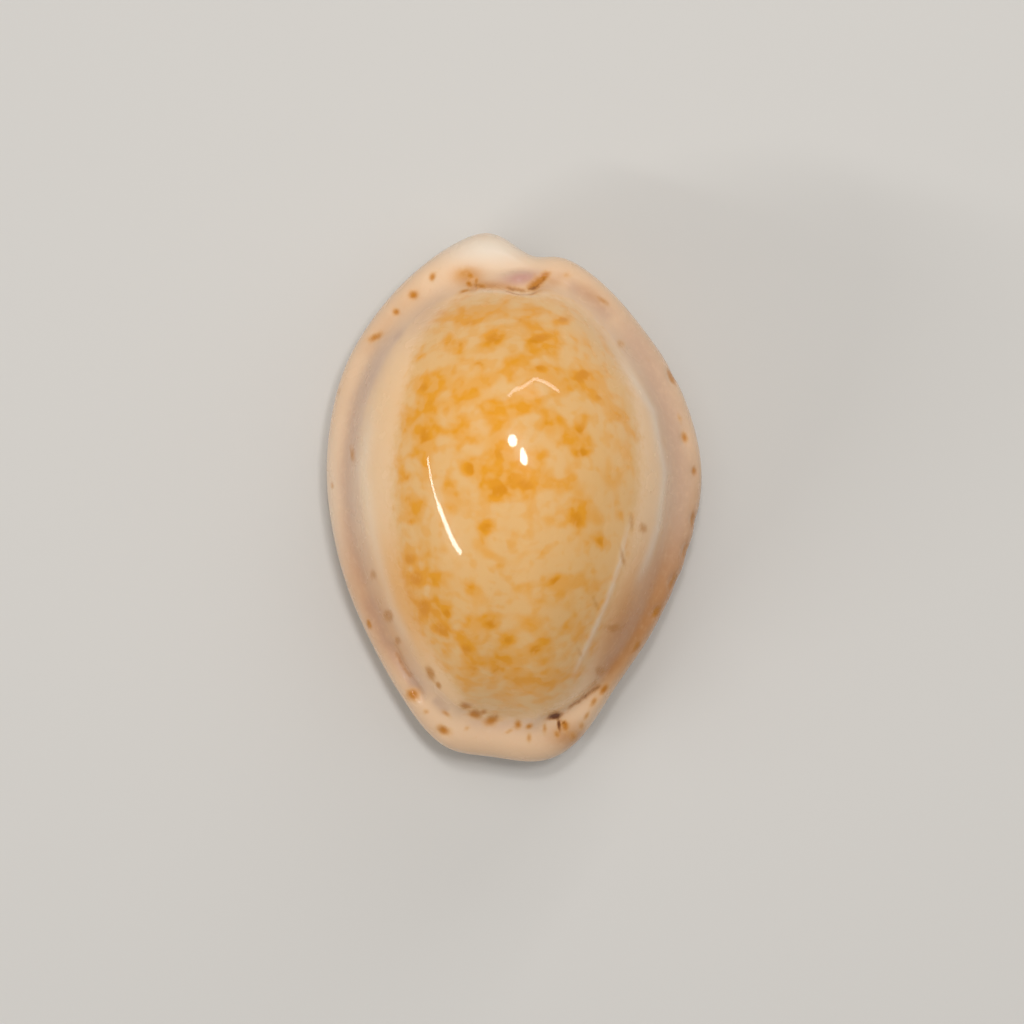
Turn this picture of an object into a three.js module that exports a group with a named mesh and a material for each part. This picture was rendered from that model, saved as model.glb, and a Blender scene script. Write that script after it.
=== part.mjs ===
import * as THREE from 'three';
import { LoftGeometry } from 'three/addons/geometries/LoftGeometry.js';
import { mergeVertices } from 'three/addons/utils/BufferGeometryUtils.js';

// A small cowrie lying on its base, in millimetres. +Y is the spire end, +Z is the back of the
// shell, the outer lip is on the -X side of the aperture and the inner lip on the +X side.
const LENGTH = 26.0;
const WIDTH = 18.5;
const HEIGHT = 13.4;

// The shell wall over the body, and the plan position of the highest point of the back.
const WALL = 1.1;
const CROWN = new THREE.Vector3(0.2, 1.6, 0);

// The aperture: a long slit that bends towards the inner lip at the spire end and is widest
// near the front end. Its edge carries teeth all the way round, fading out at both ends.
const SLIT_LENGTH = 22.6;
const SLIT_HALF_WIDTH = 0.55;
const SLIT_FLARE = 0.45;
const TEETH = 36;

// The dent in the rim where the canal leaves at the spire end, in plan.
const DENT = new THREE.Vector3(1.0, 12.4, 0);
const DENT_RADIUS = 1.0;
const DENT_DEPTH = 0.35;

// The rim seen from above, clockwise from the spire end: x, y and the width of the flange that
// runs between the rim and the foot of the domed back.
const STATIONS = [
  [0.1, 12.5, 1.75],
  [2.45, 12.2, 1.7],
  [4.4, 10.8, 1.5],
  [6.6, 8.3, 1.5],
  [8.1, 6.0, 1.6],
  [9.0, 3.6, 1.7],
  [9.4, 1.2, 1.7],
  [9.1, -1.2, 1.6],
  [8.15, -4.3, 1.3],
  [6.7, -7.2, 1.1],
  [4.95, -9.6, 1.1],
  [3.35, -12.2, 1.7],
  [1.5, -13.45, 2.2],
  [-1.2, -12.8, 2.0],
  [-3.55, -12.8, 2.0],
  [-5.4, -10.3, 1.4],
  [-6.9, -7.8, 1.2],
  [-8.2, -4.8, 1.2],
  [-9.1, -1.8, 1.2],
  [-9.4, 1.2, 1.3],
  [-9.2, 4.2, 1.4],
  [-8.25, 7.25, 1.3],
  [-6.65, 9.6, 1.4],
  [-4.8, 11.4, 1.7],
  [-3.05, 12.65, 2.2],
  [-1.2, 13.45, 2.7],
].map(([x, y, flange]) => new THREE.Vector3(x, y, flange));

// One row for each ring of controls, from the crown, over the back and the rim, under the base,
// through the aperture and up inside to the ceiling. A ring lies part of the way (`mix`) between
// two plan outlines at a height, with an extra rise at the spire end and at the front end.
// `gap` and `groove` push the edge back and up between two teeth. The first and last rings
// mirror their neighbours across the pole, so the surface stays level there.
const RINGS = [
  { from: 'crown', to: 'foot', mix: -0.3, height: 13.15 },
  { from: 'crown', to: 'foot', mix: 0.0, height: 13.55 },
  { from: 'crown', to: 'foot', mix: 0.3, height: 13.15 },
  { from: 'crown', to: 'foot', mix: 0.56, height: 12.0, spire: -0.2, front: -0.2 },
  { from: 'crown', to: 'foot', mix: 0.78, height: 10.0, spire: -0.2, front: -0.4 },
  { from: 'crown', to: 'foot', mix: 0.92, height: 7.7, spire: 0.0, front: -0.5 },
  { from: 'crown', to: 'foot', mix: 0.99, height: 5.7, spire: 0.3, front: -0.3 },
  { from: 'foot', to: 'rim', mix: 0.25, height: 4.4, spire: 0.9, front: 0.1 },
  { from: 'foot', to: 'rim', mix: 0.68, height: 3.9, spire: 1.3, front: 0.3 },
  { from: 'foot', to: 'rim', mix: 1.0, height: 3.2, spire: 1.3, front: 0.3 },
  { from: 'foot', to: 'rim', mix: 1.1, height: 2.1, spire: 1.1, front: 0.4 },
  { from: 'foot', to: 'rim', mix: 1.0, height: 0.8, spire: 0.8, front: 0.6 },
  { from: 'rim', to: 'slit', mix: 0.14, height: 0.0, spire: 0.6, front: 0.5 },
  { from: 'rim', to: 'slit', mix: 0.28, height: 0.0, spire: 0.6, front: 0.5 },
  { from: 'rim', to: 'slit', mix: 0.44, height: 0.0, spire: 0.6, front: 0.5 },
  { from: 'rim', to: 'slit', mix: 0.6, height: 0.0, spire: 0.6, front: 0.5 },
  { from: 'rim', to: 'slit', mix: 0.74, height: 0.0, spire: 0.6, front: 0.5 },
  { from: 'rim', to: 'slit', mix: 0.87, height: 0.2, spire: 0.6, front: 0.5, gap: 0.05, groove: 0.4 },
  { from: 'rim', to: 'slit', mix: 0.96, height: 0.7, spire: 0.6, front: 0.5, gap: 0.2, groove: 0.5 },
  { from: 'rim', to: 'slit', mix: 1.0, height: 1.5, spire: 0.4, front: 0.4, gap: 0.38, groove: 0.2 },
  { from: 'slit', to: 'cavity', mix: 0.05, height: 2.4, gap: 0.3 },
  { from: 'slit', to: 'cavity', mix: 0.2, height: 3.1, gap: 0.1 },
  { from: 'slit', to: 'cavity', mix: 0.6, height: 3.3 },
  { from: 'slit', to: 'cavity', mix: 0.95, height: 4.2, spire: 0.4, front: 0.4 },
  { from: 'crown', to: 'cavity', mix: 0.95, height: 6.4 },
  { from: 'crown', to: 'cavity', mix: 0.8, height: 9.2, spire: -0.3, front: -0.3 },
  { from: 'crown', to: 'cavity', mix: 0.54, height: 11.2, spire: -0.3, front: -0.2 },
  { from: 'crown', to: 'cavity', mix: 0.3, height: 12.3 },
  { from: 'crown', to: 'cavity', mix: 0.0, height: 12.5 },
  { from: 'crown', to: 'cavity', mix: -0.3, height: 12.3 },
];

// The canals that carry the aperture out through both ends of the base, as rounded notches.
const CANALS = [
  { x: 0.7, end: 1, roof: 2.9, halfWidth: 0.95 },
  { x: 0.2, end: -1, roof: 2.6, halfWidth: 1.05 },
];

// Four sectors to a tooth, and closer rows over the back than elsewhere.
const SECTORS = 4 * TEETH;
const BACK_ROWS = 10;
const BACK_RINGS = 5;

/** Weights of the four nearest controls of a uniform cubic B-spline, a fraction f along a span. */
function splineWeights(f) {
  const g = 1 - f;
  return [
    g ** 3 / 6,
    (3 * f ** 3 - 6 * f ** 2 + 4) / 6,
    (3 * g ** 3 - 6 * g ** 2 + 4) / 6,
    f ** 3 / 6,
  ];
}

/** Point on the spline whose controls are given by index; `position` counts controls. */
function splinePoint(control, position) {
  const span = Math.floor(position);
  const point = new THREE.Vector3();
  splineWeights(position - span).forEach((weight, step) => {
    if (weight > 0) point.addScaledVector(control(span - 1 + step), weight);
  });
  return point;
}

/** The point moved towards the middle of the plan by a distance. */
function inset(point, distance) {
  return point.clone().setLength(point.length() - distance);
}

/** A point of the rim, moved inwards if it is close to the dent. */
function dented(point) {
  const near = Math.exp(-((point.distanceTo(DENT) / DENT_RADIUS) ** 2));
  return inset(point, DENT_DEPTH * near);
}

/** Plan position of the aperture's edge at a turn about the shell, zero at the spire end. */
function slitPoint(turn) {
  const along = (SLIT_LENGTH / LENGTH) * Math.cos(turn);
  const centre = -0.7 + 0.45 * along + 1.5 * along ** 2;
  const flare = SLIT_FLARE * Math.exp(-(((along + 0.62) / 0.2) ** 2));
  const side = Math.sign(Math.sin(turn)) * Math.abs(Math.sin(turn)) ** 0.35;
  const x = centre + side * (SLIT_HALF_WIDTH + flare);
  return new THREE.Vector3(x, (LENGTH / 2) * along, 0);
}

/** The plan outlines where they cross one sector, with the turn about the shell. */
function outlinesAt(sector) {
  const count = STATIONS.length;
  const station = splinePoint((i) => STATIONS[(i + count) % count], (sector / SECTORS) * count);
  const edge = new THREE.Vector3(station.x, station.y, 0);
  const foot = inset(edge, station.z);
  const turn = Math.atan2(edge.x / WIDTH, edge.y / LENGTH);
  const cavity = inset(foot, WALL);
  return { crown: CROWN, rim: dented(edge), foot, cavity, slit: slitPoint(turn), turn };
}

/** How far a sector sits from a tooth: zero on its ridge, one between two, zero at both ends. */
function toothGap(sector, turn) {
  const wave = 0.5 - 0.5 * Math.cos((2 * Math.PI * TEETH * (sector + 0.5)) / SECTORS);
  return wave * (1 - THREE.MathUtils.smoothstep(Math.abs(Math.cos(turn)), 0.76, 0.92));
}

/** Raise a control that lies in the way of a canal most of the way to the canal's roof. */
function openCanals(point) {
  for (const { x, end, roof, halfWidth } of CANALS) {
    const across = Math.exp(-(((point.x - x) / halfWidth) ** 4));
    const along = THREE.MathUtils.smoothstep(end * point.y, 10.2, 11.4);
    point.z += 0.9 * across * along * Math.max(0, roof - point.z);
  }
  return point;
}

/** The controls that one sector passes through, from the crown to the ceiling. */
function controlsAt(sector) {
  const outlines = outlinesAt(sector);
  const ending = THREE.MathUtils.smoothstep(Math.abs(outlines.rim.y), 7, 12.5);
  const tooth = toothGap(sector, outlines.turn);
  const side = Math.sign(Math.sin(outlines.turn));
  return RINGS.map(({ from, to, mix, height, spire = 0, front = 0, gap = 0, groove = 0 }) => {
    const point = outlines[from].clone().lerp(outlines[to], mix);
    point.x += side * gap * tooth;
    point.z = height + ending * (outlines.rim.y > 0 ? spire : front) + groove * tooth;
    return openCanals(point);
  });
}

/** Positions of the rows along the controls, the first and last exactly on a pole. */
function rowPositions() {
  const last = RINGS.length - 2;
  const rows = [];
  for (let row = 0; row < BACK_ROWS; row += 1) rows.push(1 + (BACK_RINGS * row) / BACK_ROWS);
  for (let ring = 1 + BACK_RINGS; ring <= last; ring += 1) rows.push(ring);
  return rows;
}

/** Join the loft's seams and drop the triangles that close up at the poles. */
function weld(loft) {
  loft.deleteAttribute('normal');
  loft.deleteAttribute('uv');
  const geometry = mergeVertices(new THREE.BufferGeometry().copy(loft), 1e-5);
  const corners = Array.from(geometry.index.array);
  const kept = [];
  for (let i = 0; i < corners.length; i += 3) {
    const triangle = corners.slice(i, i + 3);
    if (new Set(triangle).size === 3) kept.push(...triangle);
  }
  geometry.setIndex(kept);
  return geometry;
}

/** Scale to the overall size and stand the middle of the base on the origin. */
function fitToSize(geometry) {
  geometry.computeBoundingBox();
  const size = geometry.boundingBox.getSize(new THREE.Vector3());
  geometry.scale(WIDTH / size.x, LENGTH / size.y, HEIGHT / size.z);
  geometry.computeBoundingBox();
  const centre = geometry.boundingBox.getCenter(new THREE.Vector3());
  geometry.translate(-centre.x, -centre.y, -geometry.boundingBox.min.z);
  return geometry;
}

/** The whole shell as one closed surface: back, base, aperture and the hollow inside. */
function shellGeometry() {
  const columns = Array.from({ length: SECTORS }, (_, sector) => controlsAt(sector));
  const sections = rowPositions().map((row) => columns.map((column) => splinePoint((i) => column[i], row)));
  const geometry = fitToSize(weld(new LoftGeometry(sections)));
  geometry.computeVertexNormals();
  return geometry;
}

const shell = new THREE.Mesh(
  shellGeometry(),
  new THREE.MeshStandardMaterial({ name: 'porcelain', color: 0xd9a768, roughness: 0.25, metalness: 0.0 }),
);
shell.name = 'shell';

const group = new THREE.Group();
group.name = 'cowrie_shell';
group.add(shell);

export default group;
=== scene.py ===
"""A small cowrie shell lying on its base on a pale floor, under soft studio light.

Everything is in metres. +Y is the spire end, +Z the back of the shell, and the outer lip is at -X.
Sizes inside the shell's own classes are in millimetres, and are scaled when the mesh is made.
"""

import logging
import math
from dataclasses import dataclass, field
from enum import Enum

import bpy
import numpy as np
from mathutils import Matrix, Vector


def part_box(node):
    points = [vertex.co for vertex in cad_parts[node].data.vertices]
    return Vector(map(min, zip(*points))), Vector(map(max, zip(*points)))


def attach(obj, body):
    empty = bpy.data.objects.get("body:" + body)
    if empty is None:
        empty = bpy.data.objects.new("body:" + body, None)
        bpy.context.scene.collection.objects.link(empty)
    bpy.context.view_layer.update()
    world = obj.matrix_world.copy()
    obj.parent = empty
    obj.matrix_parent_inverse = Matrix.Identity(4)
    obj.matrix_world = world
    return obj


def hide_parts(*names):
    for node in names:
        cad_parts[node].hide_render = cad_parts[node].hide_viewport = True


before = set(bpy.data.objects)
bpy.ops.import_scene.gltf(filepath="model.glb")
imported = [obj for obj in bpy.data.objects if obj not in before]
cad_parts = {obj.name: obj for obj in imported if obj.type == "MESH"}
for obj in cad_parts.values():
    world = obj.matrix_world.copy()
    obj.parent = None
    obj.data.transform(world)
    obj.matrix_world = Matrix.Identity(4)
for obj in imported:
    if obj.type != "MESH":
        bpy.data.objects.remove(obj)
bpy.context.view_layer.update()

MM = 0.001
# Markings are placed on the plan of the shell, as an eye at this height above the floor sees it,
# with everything drawn at the size that it has at the level of the rim. Both are in millimetres.
EYE_HEIGHT = 250.0
RIM_LEVEL = 4.0

log = logging.getLogger("cowrie")


# ------------------------------------------------------------------------------------------ shared sums


def smoothstep(low: float, high: float, value: np.ndarray) -> np.ndarray:
    """Ease from 0 at low to 1 at high, as 3t^2 - 2t^3.

    Args:
        low: Where the rise starts.
        high: Where it ends; below low, the ease falls instead.
        value: The numbers to ease.

    Returns:
        Numbers from 0 to 1, shaped as value.
    """
    t = np.clip((value - low) / (high - low), 0.0, 1.0)
    return t * t * (3.0 - 2.0 * t)


def spline_basis(positions: np.ndarray, count: int, closed: bool) -> np.ndarray:
    """Weights that turn controls into points on a uniform cubic B-spline.

    A point a fraction f along a span is the sum of four controls, weighed by (1-f)^3/6,
    (3f^3-6f^2+4)/6, (3g^3-6g^2+4)/6 with g = 1-f, and f^3/6.

    Args:
        positions: Where the points lie, counted in controls.
        count: How many controls there are.
        closed: Whether the controls run round in a loop.

    Returns:
        A matrix of len(positions) rows and count columns.
    """
    span = np.floor(positions).astype(int)
    f = positions - span
    g = 1.0 - f
    weights = (g**3 / 6, (3 * f**3 - 6 * f**2 + 4) / 6, (3 * g**3 - 6 * g**2 + 4) / 6, f**3 / 6)
    basis = np.zeros((len(positions), count))
    row = np.arange(len(positions))
    for step, weight in enumerate(weights):
        column = span - 1 + step
        column = column % count if closed else np.clip(column, 0, count - 1)
        basis[row, column] += weight
    return basis


def inset(points: np.ndarray, distance: np.ndarray | float) -> np.ndarray:
    """Plan points moved towards the middle by a distance: p (1 - d / |p|)."""
    reach = np.linalg.norm(points, axis=-1, keepdims=True)
    return points * (1.0 - np.reshape(distance, (-1, 1)) / reach)


@dataclass(frozen=True)
class ClosedEdge:
    """A closed smooth line on the plan of the shell, led by points given in millimetres."""

    points: tuple[tuple[float, float], ...]
    # The line is followed in steps of this share of the way from one point to the next.
    step: float = 0.05

    def depth(self, plan: np.ndarray) -> np.ndarray:
        """How far plan points lie inside the line, along their own bearing from the middle.

        The line's radius at a point's bearing, less the point's own radius.

        Args:
            plan: Points as x and y, in millimetres.

        Returns:
            Distances in millimetres, negative outside the line.
        """
        corners = np.array(self.points)
        smooth = spline_basis(np.arange(0, len(corners), self.step), len(corners), True) @ corners
        bearing = np.arctan2(smooth[:, 0], smooth[:, 1])
        order = np.argsort(bearing)
        radius = np.linalg.norm(smooth, axis=1)[order]
        at = np.arctan2(plan[..., 0], plan[..., 1])
        return np.interp(at, bearing[order], radius, period=2 * np.pi) - np.linalg.norm(plan, axis=-1)


@dataclass(frozen=True)
class Stroke:
    """A soft-edged line across the plan: a groove, a ridge or a streak of colour."""

    path: tuple[tuple[float, float], ...]
    width: float
    amount: float
    fade: float = 0.2

    def spread(self, plan: np.ndarray) -> np.ndarray:
        """Amount at each point: amount * exp(-(distance to the line / width)^2), less at the ends.

        The amount rises smoothly from nothing over the first part `fade` of the line's length,
        and falls in the same way over the last part.

        Args:
            plan: Points as x and y, in millimetres.

        Returns:
            One number for each point.
        """
        nearest = np.full(plan.shape[:-1], np.inf)
        gone, travelled = 0.0, np.zeros(plan.shape[:-1])
        for start, end in zip(self.path[:-1], self.path[1:]):
            start, end = np.array(start), np.array(end)
            run = end - start
            length = float(np.linalg.norm(run))
            t = np.clip(((plan - start) @ run) / length**2, 0.0, 1.0)
            gap = np.linalg.norm(plan - start - t[..., None] * run, axis=-1)
            travelled = np.where(gap < nearest, gone + t * length, travelled)
            nearest = np.minimum(nearest, gap)
            gone += length
        share = travelled / gone
        ends = smoothstep(0.0, self.fade, share) * smoothstep(0.0, self.fade, 1.0 - share)
        return self.amount * ends * np.exp(-((nearest / self.width) ** 2))


@dataclass(frozen=True)
class Patch:
    """A soft oval on the plan: a spot of colour, a pit or a bump."""

    x: float
    y: float
    across: float
    along: float
    turn: float = 0.0
    amount: float = 1.0

    def spread(self, plan: np.ndarray) -> np.ndarray:
        """Amount at each point: amount * exp(-(u^2 + v^2)), with u and v in radii along the oval's axes.

        Args:
            plan: Points as x and y, in millimetres.

        Returns:
            One number for each point.
        """
        angle = math.radians(self.turn)
        dx, dy = plan[..., 0] - self.x, plan[..., 1] - self.y
        u = (dx * math.cos(angle) + dy * math.sin(angle)) / self.across
        v = (dy * math.cos(angle) - dx * math.sin(angle)) / self.along
        return self.amount * np.exp(-(u * u + v * v))


def seen_plan(points: np.ndarray) -> np.ndarray:
    """Where points appear on the plan to the eye: x and y times (eye - rim) / (eye - z)."""
    return points[..., :2] * ((EYE_HEIGHT - RIM_LEVEL) / (EYE_HEIGHT - points[..., 2:]))


def strongest(marks: tuple, plan: np.ndarray) -> np.ndarray:
    """The largest amount that any of the marks has at each plan point."""
    return np.max([mark.spread(plan) for mark in marks], axis=0)


def together(marks: tuple, plan: np.ndarray) -> np.ndarray:
    """The sum of the marks' amounts at each plan point."""
    return np.sum([mark.spread(plan) for mark in marks], axis=0)


# ------------------------------------------------------------------------------------------ the form


class Outline(Enum):
    """The plan outlines that the rings of controls run between."""

    CROWN = "crown"
    FOOT = "foot"
    RIM = "rim"
    SLIT = "slit"
    CAVITY = "cavity"


@dataclass(frozen=True)
class Ring:
    """A ring of controls, part of the way (mix) from one plan outline to another, at a height.

    It rises further at the spire end and at the front end. Between two teeth, gap pushes it back
    from the aperture and groove pushes it up.
    """

    start: Outline
    end: Outline
    mix: float
    height: float
    spire: float = 0.0
    front: float = 0.0
    gap: float = 0.0
    groove: float = 0.0


@dataclass(frozen=True)
class Canal:
    """A rounded notch that carries the aperture out through one end of the base."""

    x: float
    end: int
    roof: float
    half_width: float


@dataclass
class Grid:
    """The shell's surface as rows running round it, from the crown to the ceiling inside."""

    points: np.ndarray
    rows: np.ndarray
    bearing: np.ndarray

    def normals(self) -> np.ndarray:
        """Outward unit normals: the step round the shell crossed with the step along the rows.

        Returns:
            One unit vector for each point, straight up or down at the poles.
        """
        around = np.roll(self.points, -1, axis=1) - np.roll(self.points, 1, axis=1)
        along = np.gradient(self.points, axis=0)
        normal = np.cross(around, along)
        normal[0] = (0.0, 0.0, 1.0)
        normal[-1] = (0.0, 0.0, -1.0)
        return normal / np.maximum(np.linalg.norm(normal, axis=-1, keepdims=True), 1e-12)


@dataclass
class ShellForm:
    """The shell's shape: a dome on a flanged rim, a flat base, a toothed slit and a hollow body."""

    length: float = 26.0
    width: float = 18.5
    wall: float = 1.1
    crown: tuple[float, float] = (0.2, 1.6)
    slit_length: float = 22.6
    slit_half_width: float = 0.55
    slit_flare: float = 0.45
    # The aperture's centre line in plan, x = a + b t + c t^2, where t is y over half the length.
    slit_bend: tuple[float, float, float] = (-0.7, 0.45, 1.5)
    # Where along t the aperture swells, and over how much of it.
    flare_place: float = -0.62
    flare_reach: float = 0.2
    # The less this is, the blunter the aperture's two ends.
    slit_taper: float = 0.35
    teeth: int = 36
    # Above 1, a tooth is broader than the gap beside it.
    tooth_breadth: float = 1.4
    # How far the first tooth is turned, as a share of the way from one tooth to the next.
    tooth_shift: float = 0.125
    # Where the teeth start to fade and are gone, as the cosine of the turn about the shell.
    teeth_fade: tuple[float, float] = (0.76, 0.92)
    sectors: int = 576
    # How far along y each end of the shell starts its extra rise, and has all of it.
    end_rise: tuple[float, float] = (7.0, 12.5)
    # The dent in the rim where the spire-end canal leaves: its place, radius and depth.
    dent: tuple[float, float] = (1.0, 12.4)
    dent_radius: float = 1.0
    dent_depth: float = 0.35
    canals: tuple[Canal, ...] = (Canal(0.7, 1, 2.9, 0.95), Canal(0.2, -1, 2.6, 1.05))
    # The share of the way to its roof that a canal rises, and where along y it starts and is whole.
    canal_lift: float = 0.9
    canal_start: tuple[float, float] = (10.2, 11.4)
    # The rim clockwise from the spire end: x, y and the width of the flange inside it.
    stations: tuple[tuple[float, float, float], ...] = (
        (0.1, 12.5, 1.75),
        (2.45, 12.2, 1.7),
        (4.4, 10.8, 1.5),
        (6.6, 8.3, 1.5),
        (8.1, 6.0, 1.6),
        (9.0, 3.6, 1.7),
        (9.4, 1.2, 1.7),
        (9.1, -1.2, 1.6),
        (8.15, -4.3, 1.3),
        (6.7, -7.2, 1.1),
        (4.95, -9.6, 1.1),
        (3.35, -12.2, 1.7),
        (1.5, -13.45, 2.2),
        (-1.2, -12.8, 2.0),
        (-3.55, -12.8, 2.0),
        (-5.4, -10.3, 1.4),
        (-6.9, -7.8, 1.2),
        (-8.2, -4.8, 1.2),
        (-9.1, -1.8, 1.2),
        (-9.4, 1.2, 1.3),
        (-9.2, 4.2, 1.4),
        (-8.25, 7.25, 1.3),
        (-6.65, 9.6, 1.4),
        (-4.8, 11.4, 1.7),
        (-3.05, 12.65, 2.2),
        (-1.2, 13.45, 2.7),
    )
    # From the crown over the back and rim, under the base, through the slit and up to the ceiling.
    # The first and last rings mirror their neighbours across the pole, so it is level there.
    rings: tuple[Ring, ...] = (
        Ring(Outline.CROWN, Outline.FOOT, -0.3, 13.15),
        Ring(Outline.CROWN, Outline.FOOT, 0.0, 13.55),
        Ring(Outline.CROWN, Outline.FOOT, 0.3, 13.15),
        Ring(Outline.CROWN, Outline.FOOT, 0.56, 12.0, -0.2, -0.2),
        Ring(Outline.CROWN, Outline.FOOT, 0.78, 10.0, -0.2, -0.4),
        Ring(Outline.CROWN, Outline.FOOT, 0.92, 7.7, 0.0, -0.5),
        Ring(Outline.CROWN, Outline.FOOT, 0.99, 5.7, 0.3, -0.3),
        Ring(Outline.FOOT, Outline.RIM, 0.25, 4.4, 0.9, 0.1),
        Ring(Outline.FOOT, Outline.RIM, 0.68, 3.9, 1.3, 0.3),
        Ring(Outline.FOOT, Outline.RIM, 1.0, 3.2, 1.3, 0.3),
        Ring(Outline.FOOT, Outline.RIM, 1.1, 2.1, 1.1, 0.4),
        Ring(Outline.FOOT, Outline.RIM, 1.0, 0.8, 0.8, 0.6),
        Ring(Outline.RIM, Outline.SLIT, 0.14, 0.0, 0.6, 0.5),
        Ring(Outline.RIM, Outline.SLIT, 0.28, 0.0, 0.6, 0.5),
        Ring(Outline.RIM, Outline.SLIT, 0.44, 0.0, 0.6, 0.5),
        Ring(Outline.RIM, Outline.SLIT, 0.6, 0.0, 0.6, 0.5),
        Ring(Outline.RIM, Outline.SLIT, 0.74, 0.0, 0.6, 0.5),
        Ring(Outline.RIM, Outline.SLIT, 0.87, 0.2, 0.6, 0.5, 0.05, 0.4),
        Ring(Outline.RIM, Outline.SLIT, 0.96, 0.7, 0.6, 0.5, 0.2, 0.5),
        Ring(Outline.RIM, Outline.SLIT, 1.0, 1.5, 0.4, 0.4, 0.38, 0.2),
        Ring(Outline.SLIT, Outline.CAVITY, 0.05, 2.4, 0.0, 0.0, 0.3),
        Ring(Outline.SLIT, Outline.CAVITY, 0.2, 3.1, 0.0, 0.0, 0.1),
        Ring(Outline.SLIT, Outline.CAVITY, 0.6, 3.3),
        Ring(Outline.SLIT, Outline.CAVITY, 0.95, 4.2, 0.4, 0.4),
        Ring(Outline.CROWN, Outline.CAVITY, 0.95, 6.4),
        Ring(Outline.CROWN, Outline.CAVITY, 0.8, 9.2, -0.3, -0.3),
        Ring(Outline.CROWN, Outline.CAVITY, 0.54, 11.2, -0.3, -0.2),
        Ring(Outline.CROWN, Outline.CAVITY, 0.3, 12.3),
        Ring(Outline.CROWN, Outline.CAVITY, 0.0, 12.5),
        Ring(Outline.CROWN, Outline.CAVITY, -0.3, 12.3),
    )
    # Rows of the mesh to each span between rings, as (spans, rows in each).
    row_plan: tuple[tuple[int, int], ...] = ((5, 12), (5, 7), (5, 3), (5, 6), (7, 3))

    def slit_points(self, turn: np.ndarray) -> np.ndarray:
        """The aperture's edge in plan at each turn about the shell, zero at the spire end.

        y follows the cosine of the turn. x is a bent centre line, plus or minus a half width that
        closes to a rounded point at both ends and swells near the front.

        Args:
            turn: Turns about the shell, in radians.

        Returns:
            The edge's x and y at each turn, in millimetres.
        """
        along = (self.slit_length / self.length) * np.cos(turn)
        offset, lean, bend = self.slit_bend
        centre = offset + lean * along + bend * along**2
        flare = self.slit_flare * np.exp(-(((along - self.flare_place) / self.flare_reach) ** 2))
        side = np.sign(np.sin(turn)) * np.abs(np.sin(turn)) ** self.slit_taper
        x = centre + side * (self.slit_half_width + flare)
        return np.stack([x, along * self.length / 2], axis=-1)

    def outlines(self) -> tuple[dict[Outline, np.ndarray], np.ndarray]:
        """The plan outlines at every sector, and each sector's turn about the shell.

        The foot of the back is the rim moved in by the flange's width, the cavity is the foot moved
        in by the wall, and the rim itself is moved in at the dent.

        Returns:
            The outlines by name, as x and y in millimetres, and the turns in radians.
        """
        position = np.arange(self.sectors) / self.sectors * len(self.stations)
        station = spline_basis(position, len(self.stations), True) @ np.array(self.stations)
        edge, flange = station[:, :2], station[:, 2]
        foot = inset(edge, flange)
        turn = np.arctan2(edge[:, 0] / self.width, edge[:, 1] / self.length)
        from_dent = np.linalg.norm(edge - self.dent, axis=1)
        rim = inset(edge, self.dent_depth * np.exp(-((from_dent / self.dent_radius) ** 2)))
        found = {
            Outline.CROWN: np.broadcast_to(np.array(self.crown), rim.shape),
            Outline.FOOT: foot,
            Outline.RIM: rim,
            Outline.SLIT: self.slit_points(turn),
            Outline.CAVITY: inset(foot, self.wall),
        }
        return found, turn

    def tooth_gaps(self, turn: np.ndarray) -> np.ndarray:
        """Zero on a tooth and one between two, fading out at both ends of the aperture.

        A cosine wave from 0 to 1, raised to a power that broadens the teeth.

        Args:
            turn: Each sector's turn about the shell, in radians.

        Returns:
            One number for each sector.
        """
        place = np.arange(self.sectors) / self.sectors + self.tooth_shift / self.teeth
        wave = 0.5 - 0.5 * np.cos(2 * np.pi * self.teeth * place)
        return wave**self.tooth_breadth * (1.0 - smoothstep(*self.teeth_fade, np.abs(np.cos(turn))))

    def open_canals(self, points: np.ndarray) -> np.ndarray:
        """Controls that lie in the way of a canal, raised most of the way to its roof.

        The share of the way is lift * exp(-((x - canal) / half width)^4), eased in along the base.

        Args:
            points: The cage of controls, in millimetres; it is changed in place.

        Returns:
            The same cage.
        """
        for canal in self.canals:
            across = np.exp(-(((points[..., 0] - canal.x) / canal.half_width) ** 4))
            along = smoothstep(*self.canal_start, canal.end * points[..., 1])
            way = np.maximum(0.0, canal.roof - points[..., 2])
            points[..., 2] += self.canal_lift * across * along * way
        return points

    def controls(self) -> np.ndarray:
        """The cage of controls that the surface follows.

        Returns:
            Points in millimetres, ring by ring and sector by sector.
        """
        outlines, turn = self.outlines()
        rim_y = outlines[Outline.RIM][:, 1]
        ending = smoothstep(*self.end_rise, np.abs(rim_y))
        gaps = self.tooth_gaps(turn)
        side = np.sign(np.sin(turn))
        cage = np.zeros((len(self.rings), self.sectors, 3))
        for at, ring in enumerate(self.rings):
            plan = (1 - ring.mix) * outlines[ring.start] + ring.mix * outlines[ring.end]
            cage[at, :, :2] = plan
            cage[at, :, 0] += side * ring.gap * gaps
            rise = np.where(rim_y > 0, ring.spire, ring.front)
            cage[at, :, 2] = ring.height + ending * rise + ring.groove * gaps
        return self.open_canals(cage)

    def row_positions(self) -> np.ndarray:
        """Where the rows lie along the rings, from pole to pole, closest where the shape is finest."""
        steps = np.concatenate([np.full(spans * rows, 1.0 / rows) for spans, rows in self.row_plan])
        return 1.0 + np.concatenate([[0.0], np.cumsum(steps)])

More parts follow.
